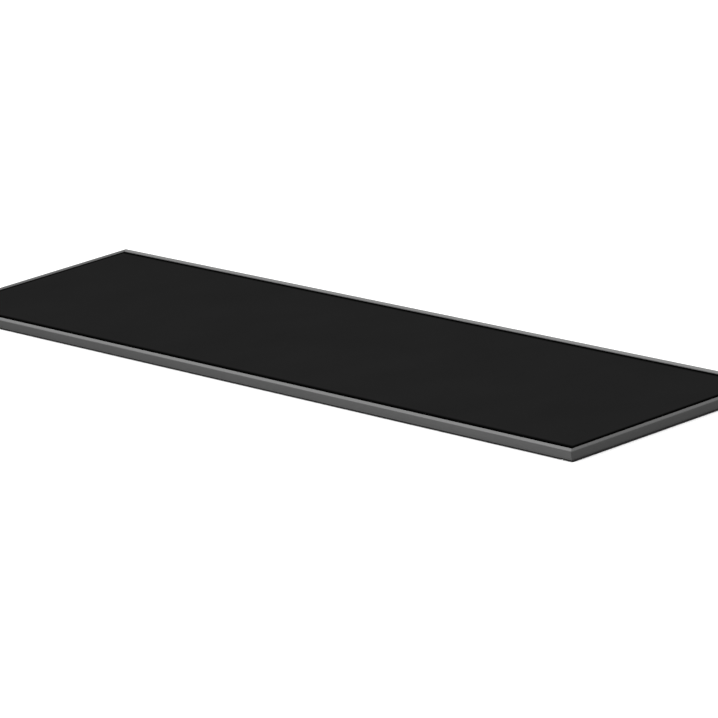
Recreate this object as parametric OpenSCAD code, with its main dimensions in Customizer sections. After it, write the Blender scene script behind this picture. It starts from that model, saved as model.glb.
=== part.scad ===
// Adhesive-mounted kick plate for the foot of a door, as supplied: a matt black face sheet in a
// mitred aluminium frame, with foam tape and its release liners still on the back.
//
// Origin: centre of the back, on the plane that meets the door.
// +X runs across the door, +Y up the door, +Z out of the door towards the foot that kicks it.

/* [Plate] */

// Length of the plate, across the door
plate_l = 863.6; // [500:0.1:1200]
// Height of the plate, up the door
plate_h = 203.2; // [120:0.1:400]

/* [Frame rails] */

// Depth of the rails, from their back to the top of the rim
rail_h = 7.1; // [6.4:0.1:12]
// Width of the rim around the face
rim_w = 6; // [4:0.5:10]
// Radius along the rim's long edges
edge_r = 0.5; // [0.1:0.05:0.9]
// Width of the ledge that carries the face sheet, from the rail's outer wall
ledge_w = 17; // [16:0.5:22]
// Thickness of the rail's outer wall beside the hollow
outer_wall = 1.6; // [1:0.1:2]
// Thickness of the rail's other walls
inner_wall = 1.1; // [0.8:0.1:1.3]

/* [Panel] */

// Thickness of the face sheet, whose front is level with the rim
face_t = 2; // [1:0.1:2.4]
// Open shadow gap between the face sheet and the rim, all round
shadow_gap = 3.5; // [1:0.5:5]
// Chamfer around the front of the face sheet
face_chamfer = 0.3; // [0.1:0.05:0.5]
// Thickness of the back sheet
back_t = 0.7; // [0.5:0.1:1.2]
// Gap between the core or back sheet and the ledges, all round
core_gap = 0.2; // [0.1:0.05:0.5]

/* [Corner keys] */

// Length of each leg of a corner key, from its outside corner
key_leg = 40; // [28:1:56]
// Side clearance of a corner key in the hollow ledge
key_gap = 0.1; // [0.05:0.05:0.3]
// Spacing of the grip notches along a leg
notch_pitch = 4; // [3:0.5:6]
// Depth of a grip notch
notch_d = 0.6; // [0.3:0.1:1]

/* [Adhesive] */

// Thickness of the foam tape
tape_t = 1.5; // [0.8:0.1:3]
// Width of the tape along the rails
tape_w = 12; // [8:0.5:16]
// How far the tape on the end rails is set in from the ends of the plate
end_inset = 0.5; // [0.5:0.5:6]
// How far all the tape is set in from the long edges of the plate
long_inset = 1; // [0.5:0.5:10]
// Width of the tape across the back sheet
cross_w = 19; // [10:1:40]
// Gap between neighbouring strips of tape
tape_gap = 1.5; // [0.5:0.5:5]
// Thickness of the release liner
liner_t = 0.2; // [0.1:0.05:0.3]

/* [Hidden] */

// Levels above the door-side plane
rail_z = liner_t + tape_t;
ledge_h = rail_h - face_t;
face_z = rail_z + ledge_h;

// Hollow that runs through each ledge and takes the corner keys
hollow_w = ledge_w - outer_wall - inner_wall;
hollow_h = ledge_h - 2 * inner_wall;
key_w = hollow_w - 2 * key_gap;

// Middle of each strip across the back, counted from the left
function cross_x(i) = plate_l * (i - 2) / 4;

// Lengths of the strips of tape on the end rails, on the long rails and across the back
end_l = plate_h - 2 * long_inset;
long_l = plate_l - 2 * (end_inset + tape_w + tape_gap);
cross_l = end_l - 2 * (tape_w + tape_gap);

// Steps in each rounded edge
arc_steps = 6;

FACE_COLOUR = [0.13, 0.13, 0.13];
RAIL_COLOUR = [0.42, 0.42, 0.43];
KEY_COLOUR = [0.70, 0.71, 0.73];
CORE_COLOUR = [0.20, 0.20, 0.21];
BACK_COLOUR = [0.62, 0.63, 0.64];
TAPE_COLOUR = [0.16, 0.16, 0.17];
LINER_COLOUR = [0.24, 0.24, 0.25];

// Points of a quarter turn about c, starting at angle from
function quarter(c, r, from) =
    [for (i = [0:arc_steps]) c + r * [cos(from + 90 * i / arc_steps), sin(from + 90 * i / arc_steps)]];

// Section of a rail: x from the outer wall inwards, y from the back up.
// The upstand at the outside is the rim. One hollow runs through the ledge and up into the rim.
module rail_section() {
    difference() {
        polygon(concat(
            quarter([edge_r, edge_r], edge_r, 180),
            [[ledge_w, 0], [ledge_w, ledge_h], [rim_w, ledge_h]],
            quarter([rim_w - edge_r, rail_h - edge_r], edge_r, 0),
            quarter([edge_r, rail_h - edge_r], edge_r, 90)
        ));
        translate([outer_wall, inner_wall]) {
            square([hollow_w, hollow_h]);
            square([rim_w - inner_wall - outer_wall, rail_h - 2 * inner_wall]);
        }
    }
}

// Rail along X, with its outer wall out_y from the middle on the -Y side and its ends mitred
module rail(length, out_y) {
    translate([0, -out_y, rail_z]) intersection() {
        rotate([90, 0, 90]) linear_extrude(height = length, center = true) rail_section();
        linear_extrude(height = rail_h) polygon([
            [-length / 2, 0], [length / 2, 0],
            [length / 2 - ledge_w, ledge_w], [ledge_w - length / 2, ledge_w]
        ]);
    }
}

// Flat sheet centred on the origin, with a chamfer c around its upper face
module chamfered_sheet(l, w, t, c) {
    function side(s) = [
        [-s / 2, 0], [s / 2, 0],
        [s / 2, t - c], [s / 2 - c, t], [c - s / 2, t], [-s / 2, t - c]
    ];
    intersection() {
        rotate([90, 0, 0]) linear_extrude(height = w, center = true) polygon(side(l));
        rotate([90, 0, 90]) linear_extrude(height = l, center = true) polygon(side(w));
    }
}

// Plain slab of thickness t, centred in X and Y, with its underside at z
module slab(l, w, t, z) {
    translate([-l / 2, -w / 2, z]) cube([l, w, t]);
}

// V-shaped grip notches into the side y = 0 of a leg, from the tip back towards the corner
module leg_notches() {
    for (x = [key_leg - notch_pitch : -notch_pitch : key_w + notch_pitch / 2])
        translate([x, 0]) polygon([[-notch_d, -1], [notch_d, -1], [0, notch_d]]);
}

// L-shaped key with its outside corner at the origin and a leg along +X and +Y
module key_outline() {
    difference() {
        union() {
            square([key_leg, key_w]);
            square([key_w, key_leg]);
        }
        for (turn = [0, 1]) mirror([turn, -turn, 0]) {
            leg_notches();
            translate([0, key_w]) mirror([0, 1, 0]) leg_notches();
        }
    }
}

// Key seated in the corner on side sx of the middle in X and side sy in Y
module corner_key(sx, sy) {
    inset = outer_wall + key_gap;
    mirror([sx > 0 ? 1 : 0, 0, 0]) mirror([0, sy > 0 ? 1 : 0, 0])
        translate([inset - plate_l / 2, inset - plate_h / 2, rail_z + inner_wall])
            linear_extrude(height = hollow_h) key_outline();
}

// Strip along a long rail, on side sy of the middle
module long_strip(sy, t, z) {
    translate([0, sy * ((plate_h - tape_w) / 2 - long_inset), 0]) slab(long_l, tape_w, t, z);
}

// Strip along an end rail, on side sx of the middle
module end_strip(sx, t, z) {
    translate([sx * ((plate_l - tape_w) / 2 - end_inset), 0, 0]) slab(tape_w, end_l, t, z);
}

// Strip across the back sheet
module cross_strip(i, t, z) {
    translate([cross_x(i), 0, 0]) slab(cross_w, cross_l, t, z);
}

module face_sheet() {
    border = 2 * (rim_w + shadow_gap);
    color(FACE_COLOUR) translate([0, 0, face_z])
        chamfered_sheet(plate_l - border, plate_h - border, face_t, face_chamfer);
}

module core_board() {
    border = 2 * (ledge_w + core_gap);
    color(CORE_COLOUR) slab(plate_l - border, plate_h - border, ledge_h - back_t, rail_z + back_t);
}

module back_sheet() {
    border = 2 * (ledge_w + core_gap);
    color(BACK_COLOUR) slab(plate_l - border, plate_h - border, back_t, rail_z);
}

module bottom_rail() { color(RAIL_COLOUR) rail(plate_l, plate_h / 2); }
module top_rail() { color(RAIL_COLOUR) rotate([0, 0, 180]) rail(plate_l, plate_h / 2); }
module left_rail() { color(RAIL_COLOUR) rotate([0, 0, -90]) rail(plate_h, plate_l / 2); }
module right_rail() { color(RAIL_COLOUR) rotate([0, 0, 90]) rail(plate_h, plate_l / 2); }

module corner_key_bottom_left() { color(KEY_COLOUR) corner_key(-1, -1); }
module corner_key_bottom_right() { color(KEY_COLOUR) corner_key(1, -1); }
module corner_key_top_left() { color(KEY_COLOUR) corner_key(-1, 1); }
module corner_key_top_right() { color(KEY_COLOUR) corner_key(1, 1); }

module tape_bottom() { color(TAPE_COLOUR) long_strip(-1, tape_t, liner_t); }
module tape_top() { color(TAPE_COLOUR) long_strip(1, tape_t, liner_t); }
module tape_left() { color(TAPE_COLOUR) end_strip(-1, tape_t, liner_t); }
module tape_right() { color(TAPE_COLOUR) end_strip(1, tape_t, liner_t); }
module tape_cross(i) { color(TAPE_COLOUR) cross_strip(i, tape_t, liner_t); }

module liner_bottom() { color(LINER_COLOUR) long_strip(-1, liner_t, 0); }
module liner_top() { color(LINER_COLOUR) long_strip(1, liner_t, 0); }
module liner_left() { color(LINER_COLOUR) end_strip(-1, liner_t, 0); }
module liner_right() { color(LINER_COLOUR) end_strip(1, liner_t, 0); }
module liner_cross(i) { color(LINER_COLOUR) cross_strip(i, liner_t, 0); }

face_sheet();
core_board();
back_sheet();

bottom_rail();
top_rail();
left_rail();
right_rail();

corner_key_bottom_left();
corner_key_bottom_right();
corner_key_top_left();
corner_key_top_right();

tape_bottom();
tape_top();
tape_left();
tape_right();
tape_cross(1);  // tape_cross_1
tape_cross(2);  // tape_cross_2
tape_cross(3);  // tape_cross_3

liner_bottom();
liner_top();
liner_left();
liner_right();
liner_cross(1);  // liner_cross_1
liner_cross(2);  // liner_cross_2
liner_cross(3);  // liner_cross_3
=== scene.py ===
"""Looks of the kick plate: a matt black face sheet set in a satin graphite aluminium frame."""
import math
import random

import bmesh
import bpy
from mathutils import Matrix, Vector


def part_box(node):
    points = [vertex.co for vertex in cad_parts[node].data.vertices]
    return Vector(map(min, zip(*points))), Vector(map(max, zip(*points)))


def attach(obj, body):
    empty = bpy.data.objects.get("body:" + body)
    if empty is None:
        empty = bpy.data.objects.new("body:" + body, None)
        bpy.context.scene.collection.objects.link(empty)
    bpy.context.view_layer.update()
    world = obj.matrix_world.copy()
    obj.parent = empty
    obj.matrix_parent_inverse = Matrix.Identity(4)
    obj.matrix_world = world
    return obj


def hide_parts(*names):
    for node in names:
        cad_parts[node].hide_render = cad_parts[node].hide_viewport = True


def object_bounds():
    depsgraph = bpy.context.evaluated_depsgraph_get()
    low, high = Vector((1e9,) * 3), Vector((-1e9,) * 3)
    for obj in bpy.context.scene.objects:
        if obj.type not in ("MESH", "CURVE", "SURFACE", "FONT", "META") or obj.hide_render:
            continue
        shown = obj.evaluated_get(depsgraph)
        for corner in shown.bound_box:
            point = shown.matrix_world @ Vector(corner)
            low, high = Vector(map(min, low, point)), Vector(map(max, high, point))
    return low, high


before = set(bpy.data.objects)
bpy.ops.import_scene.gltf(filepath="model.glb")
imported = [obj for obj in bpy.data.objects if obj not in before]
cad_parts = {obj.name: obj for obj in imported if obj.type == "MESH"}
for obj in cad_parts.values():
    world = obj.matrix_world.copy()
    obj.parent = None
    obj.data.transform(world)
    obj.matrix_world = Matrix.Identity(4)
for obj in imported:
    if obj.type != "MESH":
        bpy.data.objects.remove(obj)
CAD_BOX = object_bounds()

MM = 0.001

# Camera, aimed at the middle of the rim's top: angles in degrees, distance in metres
CAMERA_AZIMUTH = 54.227
CAMERA_ELEVATION = 15.08
CAMERA_ROLL = -7.57
CAMERA_DISTANCE = 4.554
CAMERA_PAN = 0.311
CAMERA_TILT = -0.182  # below the line of sight
CAMERA_LENS = 276.1  # mm
CAMERA_SENSOR = 36  # mm
CAMERA_NEAR = 0.1
CAMERA_FAR = 200

# Studio: a white floor under a white surround, brighter near the horizon than overhead, and a light
FLOOR_HALF = 60.0
FLOOR_ALBEDO = 0.9
FLOOR_GLOW = 0.1
HORIZON = 1.5
ZENITH = 1.3
ZENITH_HEIGHT = 0.7  # height on the unit sphere from which the surround has its zenith brightness
LIGHT_AZIMUTH = -20
LIGHT_ELEVATION = 40
LIGHT_DISTANCE = 4.0
LIGHT_SIZE = 2.5
LIGHT_POWER = 60

# Greys of the finishes and of the painted shade, linear
FACE_GREY = 0.0104
# painted shade: the face sheet's margin darkened beside the shadow gap
MARGIN_PAINTED_SHADE = 0.004
# painted shade: near black put in the shadow gap beside the rails and on the face sheet's cut edge, where
# shade falls
GAP_PAINTED_SHADE = 0.0015
CORE_GREY = 0.035
BACK_GREY = 0.42
KEY_GREY = 0.57
FOAM_GREY = 0.02
LINER_SMOKE = 0.03
SPANGLE_LOW = (0.9, 0.92, 0.95)  # shares of the key's grey in red, green and blue
SPANGLE_HIGH = (1.05, 1.06, 1.08)

# Patterns: features in a metre, the same each way or along X, Y and Z
FACE_CLOUDS = 14
FACE_GRAIN = 650
RAIL_CLOUDS = 9
LINE_PITCH = 1400  # draw lines, across the rail
LINE_STRETCH = 4  # draw lines, along the rail
CORE_FIBRES = (600, 600, 1500)
BACK_ROLLING = (5, 900, 900)
KEY_SPANGLE = 350
FOAM_CELLS = 1600
LINER_HAZE = 260
GRAIN_SHARE = 0.4  # of the grain in the face's mottle
CLOUD_SHARE = 0.35  # of the clouds in a rail's streaks
MIDDLE = (0.3, 0.7)  # range of a pattern that its colours and roughness spread over

# Depth of each pattern's relief
FACE_RELIEF = 0.05 * MM
LINE_RELIEF = 0.004 * MM
CORE_RELIEF = 0.05 * MM
BACK_RELIEF = 0.005 * MM
KEY_RELIEF = 0.01 * MM
FOAM_RELIEF = 0.12 * MM
LINER_RELIEF = 0.01 * MM

# Rails, a lit and a shaded copy of one graphite: grey, roughness, tint at grazing angles (below 1 a
# painted shade that dims the end rails' reflections), and how much paler the right end is than the left,
# a painted light
LONG_RAIL_LIT = (0.039, 0.37, 1.0, 1.84)
END_RAIL_SHADED = (0.05, 0.4, 0.76, 1.0)
LINE_CONTRAST = 0.1
LINE_GLOSS = 0.04  # how far the draw lines take the roughness up and down
EDGE_WEAR_AND_HIGHLIGHT = 1.8  # how much brighter the rounded upper edges are: partly rubbed wear, partly a painted highlight
TURN_START = (0.1, 0.3)  # upward share of the normal over which an edge begins to turn level
TURN_END = (0.9, 0.98)  # the same, where it has turned
RIM_INSIDE = (5.7 * MM, 5.9 * MM)  # how far in from the plate's edge the rim's grey ends and the gap's painted shade begins
RIM_LIP = (0.5 * MM, 0.6 * MM)  # how far below the rim's top the grey of its inner wall ends and the painted shade begins
LEDGE_SKIN = (0.1 * MM, 0.3 * MM)  # how far below the ledge's top the gap's painted shade ends
CUT_EDGE_SHADE = (0.02 * MM, 0.1 * MM)  # how far below the face's top the gap's painted shade starts on the sheet's cut edge
FACE_SHADE_MARGIN = (0.8 * MM, 2.6 * MM)  # how far in from the sheet's edge its painted shade margin fades out

# Broken edges of the hard pieces
WELD_REACH = 0.001 * MM
EDGE_BREAK = 0.12 * MM
EDGE_ANGLE = 40  # degrees: shallower edges belong to a curve and stay as they are
EDGE_SEGMENTS = 2

# Adhesive strips: the foam is die-cut, so its sides neck in and wander a little
FOAM_NECK = 0.15 * MM
FOAM_LEVELS = 6
FOAM_WANDER = 0.06 * MM
STRIP_CORNER = 0.8 * MM
STRIP_STEP = 6 * MM
CORNER_STEPS = 4
LINER_OVERHANG = 0.2 * MM
LINER_EASE = 0.04 * MM


# ---------------------------------------------------------------- camera, light and floor

def direction(azimuth, elevation):
    """Unit vector from the object towards a place at that azimuth and elevation, in degrees."""
    a = math.radians(azimuth)
    e = math.radians(elevation)
    return Vector((math.sin(a) * math.cos(e), -math.cos(a) * math.cos(e), math.sin(e)))


def link(thing):
    bpy.context.scene.collection.objects.link(thing)
    return thing


def add_camera(target):
    """Looks at the target, rolls about that line of sight, then pans to the right and tilts up."""
    back = direction(CAMERA_AZIMUTH, CAMERA_ELEVATION)
    level = (-back).to_track_quat("-Z", "Y").to_matrix().to_4x4()
    roll = Matrix.Rotation(math.radians(CAMERA_ROLL), 4, "Z")
    pan = Matrix.Rotation(math.radians(-CAMERA_PAN), 4, "Y")
    tilt = Matrix.Rotation(math.radians(CAMERA_TILT), 4, "X")
    camera = link(bpy.data.objects.new("camera", bpy.data.cameras.new("camera")))
    camera.data.sensor_width = CAMERA_SENSOR
    camera.data.lens = CAMERA_LENS
    camera.data.clip_start = CAMERA_NEAR
    camera.data.clip_end = CAMERA_FAR
    place = Matrix.Translation(target + back * CAMERA_DISTANCE)
    camera.matrix_world = place @ level @ roll @ pan @ tilt
    bpy.context.scene.camera = camera


def add_light(target):
    """One large soft light, which no camera sees."""
    way = direction(LIGHT_AZIMUTH, LIGHT_ELEVATION)
    light = link(bpy.data.objects.new("key", bpy.data.lights.new("key", "AREA")))
    light.data.size = LIGHT_SIZE
    light.data.energy = LIGHT_POWER
    turn = way.to_track_quat("Z", "Y").to_matrix().to_4x4()
    light.matrix_world = Matrix.Translation(target + way * LIGHT_DISTANCE) @ turn
    light.visible_camera = False


def add_surround():
    world = bpy.data.worlds.new("studio")
    world.use_nodes = True
    tree = world.node_tree
    height = add(tree, "SeparateXYZ", Vector=add(tree, "TexCoord").outputs["Generated"]).outputs["Z"]
    glow = remap(tree, height, (0.0, ZENITH_HEIGHT), (HORIZON, ZENITH))
    tree.nodes["Background"].inputs["Color"].default_value = grey(1.0)
    tree.links.new(glow, tree.nodes["Background"].inputs["Strength"])
    bpy.context.scene.world = world


def add_floor():
    """White floor at the level of the liners' underside."""
    mesh = bpy.data.meshes.new("floor")
    corners = [(sx * FLOOR_HALF, sy * FLOOR_HALF, 0) for sx, sy in ((-1, -1), (1, -1), (1, 1), (-1, 1))]
    mesh.from_pydata(corners, [], [(0, 1, 2, 3)])
    finish = Finish("floor_white", roughness=1.0, specular=0.0)
    finish.shader.inputs["Base Color"].default_value = grey(FLOOR_ALBEDO)
    finish.shader.inputs["Emission Color"].default_value = grey(1.0)
    finish.shader.inputs["Emission Strength"].default_value = FLOOR_GLOW
    mesh.materials.append(finish.material)
    link(bpy.data.objects.new("floor", mesh))


# ---------------------------------------------------------------- materials

def grey(value):
    return (value, value, value, 1.0)


def tint(value, shares):
    """Grey of that value with a share of it in red, green and blue."""
    return tuple(value * share for share in shares) + (1.0,)


def add(tree, kind, **inputs):
    """New shader node. Each input is a number, a vector or another node's output."""
    node = tree.nodes.new("ShaderNode" + kind)
    for name, value in inputs.items():
        plug(tree, value, node.inputs[name])
    return node


def plug(tree, value, socket):
    """Sets the socket, or links it to another node's output."""
    if isinstance(value, bpy.types.NodeSocket):
        tree.links.new(value, socket)
    else:
        socket.default_value = value


def remap(tree, value, source, result):
    """Value taken from one range to another and held within it."""
    node = add(tree, "MapRange", Value=value)
    node.inputs["From Min"].default_value, node.inputs["From Max"].default_value = source
    node.inputs["To Min"].default_value, node.inputs["To Max"].default_value = result
    return node.outputs["Result"]


class Finish:
    """A material whose looks follow patterns and places in the object's own metres."""

    def __init__(self, name, roughness, metallic=0.0, specular=0.5):
        self.material = bpy.data.materials.new(name)
        self.material.use_nodes = True
        self.tree = self.material.node_tree
        self.shader = self.tree.nodes["Principled BSDF"]
        self.shader.inputs["Roughness"].default_value = roughness
        self.shader.inputs["Metallic"].default_value = metallic
        self.shader.inputs["Specular IOR Level"].default_value = specular
        self.place = add(self.tree, "TexCoord").outputs["Object"]

    def noise(self, per_metre, detail=3.0):
        """Clouds from 0 to 1, with that many features in a metre, each way or along X, Y and Z."""
        if not isinstance(per_metre, (tuple, list)):
            per_metre = (per_metre,) * 3
        scaled = add(self.tree, "Mapping", Vector=self.place, Scale=per_metre).outputs["Vector"]
        return add(self.tree, "TexNoise", Vector=scaled, Scale=1.0, Detail=detail).outputs["Fac"]

    def cells(self, per_metre):
        """Rounded cells, 0 in the middle of each and rising towards its wall."""
        return add(self.tree, "TexVoronoi", Vector=self.place, Scale=per_metre).outputs["Distance"]

    def blend(self, first, second, share):
        """The first pattern with a share of the second in it."""
        return add(self.tree, "Mix", Factor=share, A=first, B=second).outputs["Result"]

    def maths(self, operation, *values):
        node = self.tree.nodes.new("ShaderNodeMath")
        node.operation = operation
        for socket, value in zip(node.inputs, values):
            plug(self.tree, value, socket)
        return node.outputs["Value"]

    def spread(self, value, source):
        """0 to 1 over that range of the value, and held at each end."""
        return remap(self.tree, value, source, (0.0, 1.0))

    def axis(self, name):
        """Place along that axis, in metres."""
        return add(self.tree, "SeparateXYZ", Vector=self.place).outputs[name]

    def depth(self, axis, edge):
        """How far inside the edge a point lies, on either side of the middle of that axis."""
        return self.maths("SUBTRACT", edge, self.maths("ABSOLUTE", self.axis(axis)))

    def rounding(self):
        """1 where an upper edge turns from upright to level, 0 on the flats and on lower edges."""
        normal = add(self.tree, "NewGeometry").outputs["Normal"]
        upward = add(self.tree, "SeparateXYZ", Vector=normal).outputs["Z"]
        turned = remap(self.tree, upward, TURN_END, (1.0, 0.0))
        return self.maths("MULTIPLY", self.spread(upward, TURN_START), turned)

    def shade(self, share, low, high):
        """Colour that goes from one to the other as the share goes from 0 to 1."""
        mix = self.tree.nodes.new("ShaderNodeMix")
        mix.data_type = "RGBA"
        ends = [socket for socket in mix.inputs if socket.type == "RGBA"]
        plug(self.tree, share, mix.inputs["Factor"])
        plug(self.tree, low, ends[0])
        plug(self.tree, high, ends[1])
        return [socket for socket in mix.outputs if socket.type == "RGBA"][0]

    def mottle(self, pattern, value, low, high):
        """Grey that varies with the pattern between two shares of its value."""
        return self.shade(self.spread(pattern, MIDDLE), grey(value * low), grey(value * high))

    def colour(self, result):
        self.tree.links.new(result, self.shader.inputs["Base Color"])

    def metal(self, share):
        """How much of the surface is bare metal."""
        self.tree.links.new(share, self.shader.inputs["Metallic"])

    def roughness(self, pattern, low, high):
        rough = remap(self.tree, pattern, MIDDLE, (low, high))
        self.tree.links.new(rough, self.shader.inputs["Roughness"])

    def relief(self, pattern, depth):
        """Bump as deep as that, in metres."""
        bump = add(self.tree, "Bump", Height=pattern, Distance=depth)
        self.tree.links.new(bump.outputs["Normal"], self.shader.inputs["Normal"])


def face_finish():
    """Dead matt black with a fine grain and faint clouds; painted shade darkens a margin beside the
    shadow gap and paints the cut edges blackest.
    """
    finish = Finish("face_matt_black", roughness=0.8, specular=0.0)
    clouds = finish.noise(FACE_CLOUDS)
    grain = finish.noise(FACE_GRAIN, detail=2.0)
    coating = finish.mottle(finish.blend(clouds, grain, GRAIN_SHARE), FACE_GREY, 0.92, 1.08)
    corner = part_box("face_sheet")[1]
    inside = finish.maths("MINIMUM", finish.depth("X", corner.x), finish.depth("Y", corner.y))
    # painted shade: the margin darkens towards the sheet's edge beside the shadow gap
    margin_shaded = finish.shade(finish.spread(inside, FACE_SHADE_MARGIN), grey(MARGIN_PAINTED_SHADE), coating)
    # painted shade: the cut edge below the face is painted the gap's near black
    cut = finish.spread(finish.depth("Z", corner.z), CUT_EDGE_SHADE)
    finish.colour(finish.shade(cut, margin_shaded, grey(GAP_PAINTED_SHADE)))
    finish.roughness(clouds, 0.76, 0.86)
    finish.relief(grain, FACE_RELIEF)
    return finish.material


def rail_finish(name, along, look):
    """Graphite anodising over draw lines that run along the rail; painted shade makes it dead black, and
    no longer metal, down in the shadow gap.
    """
    value, rough, graze_shade, right_end_light = look
    finish = Finish(name, rough, metallic=1.0, specular=0.0)
    # painted shade: a grazing tint below 1 dims the reflections of the end rails
    finish.shader.inputs["Specular Tint"].default_value = grey(graze_shade)
    lines = finish.noise([LINE_STRETCH if axis == along else LINE_PITCH for axis in "XYZ"], detail=4.0)
    streaks = finish.blend(lines, finish.noise(RAIL_CLOUDS), CLOUD_SHARE)
    low, high = 1 - LINE_CONTRAST, 1 + LINE_CONTRAST
    left = finish.mottle(streaks, value, low, high)
    # painted light: the grey turns paler towards the right end
    right = finish.mottle(streaks, value * right_end_light, low, high)
    drawn_and_lit = finish.shade(finish.spread(finish.axis("X"), (CAD_BOX[0].x, CAD_BOX[1].x)), left, right)
    # rubbed wear and a painted highlight brighten the rounded upper edges
    worn_and_highlit = finish.shade(finish.rounding(), drawn_and_lit, grey(value * EDGE_WEAR_AND_HIGHLIGHT))
    # painted shade: the shadow gap is painted near black and loses its metal so it reflects nothing
    gap = gap_painted_shade(finish, along)
    finish.colour(finish.shade(gap, worn_and_highlit, grey(GAP_PAINTED_SHADE)))
    finish.metal(finish.maths("SUBTRACT", 1.0, gap))
    finish.roughness(lines, rough - LINE_GLOSS, rough + LINE_GLOSS)
    finish.relief(lines, LINE_RELIEF)
    return finish.material


def gap_painted_shade(finish, along):
    """Mask of the painted shade: 1 on the walls and floor of the shadow gap beside a rail, 0 on the rim,
    its lip and the back.
    """
    across, edge = ("Y", CAD_BOX[1].y) if along == "X" else ("X", CAD_BOX[1].x)
    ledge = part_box("face_sheet")[0].z
    inside = finish.spread(finish.depth(across, edge), RIM_INSIDE)
    below = finish.spread(finish.depth("Z", CAD_BOX[1].z), RIM_LIP)
    above = finish.spread(finish.axis("Z"), (ledge - LEDGE_SKIN[1], ledge - LEDGE_SKIN[0]))
    return finish.maths("MULTIPLY", finish.maths("MULTIPLY", inside, below), above)


def core_finish():
    finish = Finish("core_dark_board", roughness=0.9, specular=0.2)
    fibres = finish.noise(CORE_FIBRES, detail=4.0)
    finish.colour(finish.mottle(fibres, CORE_GREY, 0.8, 1.25))
    finish.relief(fibres, CORE_RELIEF)
    return finish.material


def back_finish():
    """Mill-finish sheet, rolled along X."""
    finish = Finish("back_mill_aluminium", roughness=0.35, metallic=1.0)
    rolling = finish.noise(BACK_ROLLING, detail=4.0)
    finish.colour(finish.mottle(rolling, BACK_GREY, 0.93, 1.06))
    finish.roughness(rolling, 0.3, 0.42)
    finish.relief(rolling, BACK_RELIEF)
    return finish.material


def key_finish():
    """Zinc plating with its crystal spangle."""
    finish = Finish("key_zinc_plate", roughness=0.3, metallic=1.0)
    spangle = finish.cells(KEY_SPANGLE)
    low, high = tint(KEY_GREY, SPANGLE_LOW), tint(KEY_GREY, SPANGLE_HIGH)
    finish.colour(finish.shade(finish.spread(spangle, MIDDLE), low, high))
    finish.roughness(spangle, 0.22, 0.38)
    finish.relief(spangle, KEY_RELIEF)
    return finish.material


def foam_finish():
    """Black closed-cell foam."""
    finish = Finish("tape_black_foam", roughness=0.95, specular=0.1)
    cells = finish.cells(FOAM_CELLS)
    finish.colour(finish.mottle(cells, FOAM_GREY, 0.7, 1.3))
    finish.relief(cells, FOAM_RELIEF)
    return finish.material


def liner_finish():
    """Smoke-coloured release film with a slight haze."""
    finish = Finish("liner_smoke_film", roughness=0.38, specular=0.3)
    haze = finish.noise(LINER_HAZE, detail=5.0)
    finish.colour(finish.mottle(haze, LINER_SMOKE, 0.85, 1.15))
    finish.roughness(haze, 0.33, 0.43)
    finish.relief(haze, LINER_RELIEF)
    return finish.material


# ---------------------------------------------------------------- hard pieces from the frame

def give(node, material):
    """The CAD node's object takes the material in every slot."""
    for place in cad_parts[node].material_slots:
        place.material = material


def break_edges(node):
    """Takes the sharpness off a CAD node's edges, which shows as a fine line at each mitre."""
    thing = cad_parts[node]
    weld = thing.modifiers.new("weld", "WELD")
    weld.merge_threshold = WELD_REACH
    bevel = thing.modifiers.new("edge_break", "BEVEL")
    bevel.width = EDGE_BREAK
    bevel.segments = EDGE_SEGMENTS
    bevel.limit_method = "ANGLE"
    bevel.angle_limit = math.radians(EDGE_ANGLE)
    thing.modifiers.new("normals", "WEIGHTED_NORMAL")


# ---------------------------------------------------------------- adhesive strips

def strip_outline(low, high, inset=0.0):
    """Rounded rectangle in plan, anticlockwise, moved in by the inset: each point with the way out."""
    r = STRIP_CORNER
    outline = []
    for sx, sy, start in ((1, -1, -90), (1, 1, 0), (-1, 1, 90), (-1, -1, 180)):
        centre = Vector((high.x - r if sx > 0 else low.x + r, high.y - r if sy > 0 else low.y + r))
        for i in range(CORNER_STEPS + 1):
            turn = math.radians(start + 90 * i / CORNER_STEPS)
            out = Vector((math.cos(turn), math.sin(turn)))
            outline.append((centre + out * (r - inset), out))
    sides = []
    for (here, out), (there, _) in zip(outline, outline[1:] + outline[:1]):
        steps = max(1, round((there - here).length / STRIP_STEP))
        sides += [(here.lerp(there, i / steps), out) for i in range(steps)]
    return sides


def build_solid(name, levels):
    """Closed solid through rings of points, one above the other."""
    shape = bmesh.new()
    rings = [[shape.verts.new((p.x, p.y, z)) for p in ring] for z, ring in levels]
    for below, above in zip(rings, rings[1:]):
        for i, corner in enumerate(below):
            j = (i + 1) % len(below)
            shape.faces.new((corner, below[j], above[j], above[i]))
    shape.faces.new(reversed(rings[0]))
    shape.faces.new(rings[-1])
    mesh = bpy.data.meshes.new(name)
    shape.to_mesh(mesh)
    shape.free()
    return link(bpy.data.objects.new(name, mesh))


def stand_in(piece, node, material):
    """The new piece takes the CAD node's place in the frame and in the record."""
    piece.data.materials.append(material)
    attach(piece, "root")
    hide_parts(node)


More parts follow.
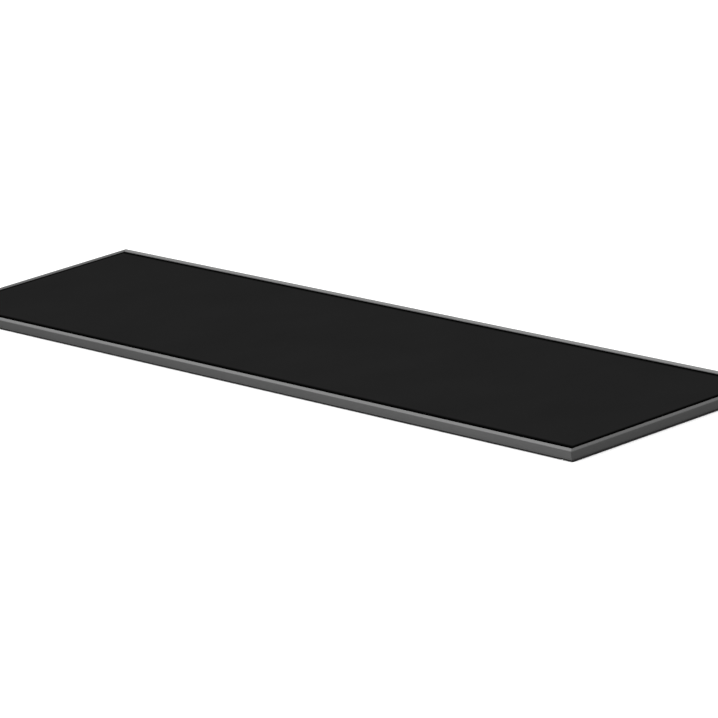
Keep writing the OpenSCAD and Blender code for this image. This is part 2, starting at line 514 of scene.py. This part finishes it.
def add_foam(strip, material, seed):
    """Die-cut foam: its sides neck in at half height and its cut edge wanders a little."""
    low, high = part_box("tape_" + strip)
    rng = random.Random(seed)
    outline = strip_outline(low, high)
    wander = [rng.uniform(0, FOAM_WANDER) for _ in outline]
    levels = []
    for k in range(FOAM_LEVELS + 1):
        share = k / FOAM_LEVELS
        neck = FOAM_NECK * math.sin(math.pi * share)
        ring = [point - out * (neck + w) for (point, out), w in zip(outline, wander)]
        levels.append((low.z + (high.z - low.z) * share, ring))
    piece = build_solid("foam_" + strip, levels)
    for face in piece.data.polygons[:-2]:  # the last two are its flat ends
        face.use_smooth = True
    stand_in(piece, "tape_" + strip, material)


def add_liner(strip, material):
    """Release liner, a hair wider than its foam, with an eased edge."""
    low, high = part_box("liner_" + strip)
    ease = LINER_EASE
    levels = []
    for z, inset in ((low.z, ease), (low.z + ease, 0), (high.z - ease, 0), (high.z, ease)):
        levels.append((z, [point for point, _ in strip_outline(low, high, inset - LINER_OVERHANG)]))
    piece = build_solid("film_" + strip, levels)
    stand_in(piece, "liner_" + strip, material)


# ---------------------------------------------------------------- the scene

rim_middle = Vector((0, 0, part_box("face_sheet")[1].z))
add_camera(rim_middle)
add_light(rim_middle)
add_surround()
add_floor()

# the long rails are the lit copy and the end rails the shaded copy of one graphite: painted light and
# shade
long_rail_lit = rail_finish("rail_graphite_long_lit", "X", LONG_RAIL_LIT)
end_rail_shaded = rail_finish("rail_graphite_end_shaded", "Y", END_RAIL_SHADED)
give("face_sheet", face_finish())
give("core_board", core_finish())
give("back_sheet", back_finish())
give("bottom_rail", long_rail_lit)
give("top_rail", long_rail_lit)
give("left_rail", end_rail_shaded)
give("right_rail", end_rail_shaded)
plating = key_finish()
for corner in ("bottom_left", "bottom_right", "top_left", "top_right"):
    give("corner_key_" + corner, plating)

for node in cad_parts:
    if not node.startswith(("tape_", "liner_")):
        break_edges(node)

foam = foam_finish()
film = liner_finish()
for seed, strip in enumerate(("bottom", "top", "left", "right", "cross_1", "cross_2", "cross_3")):
    add_foam(strip, foam, seed)
    add_liner(strip, film)

bpy.context.scene.view_settings.view_transform = "Standard"
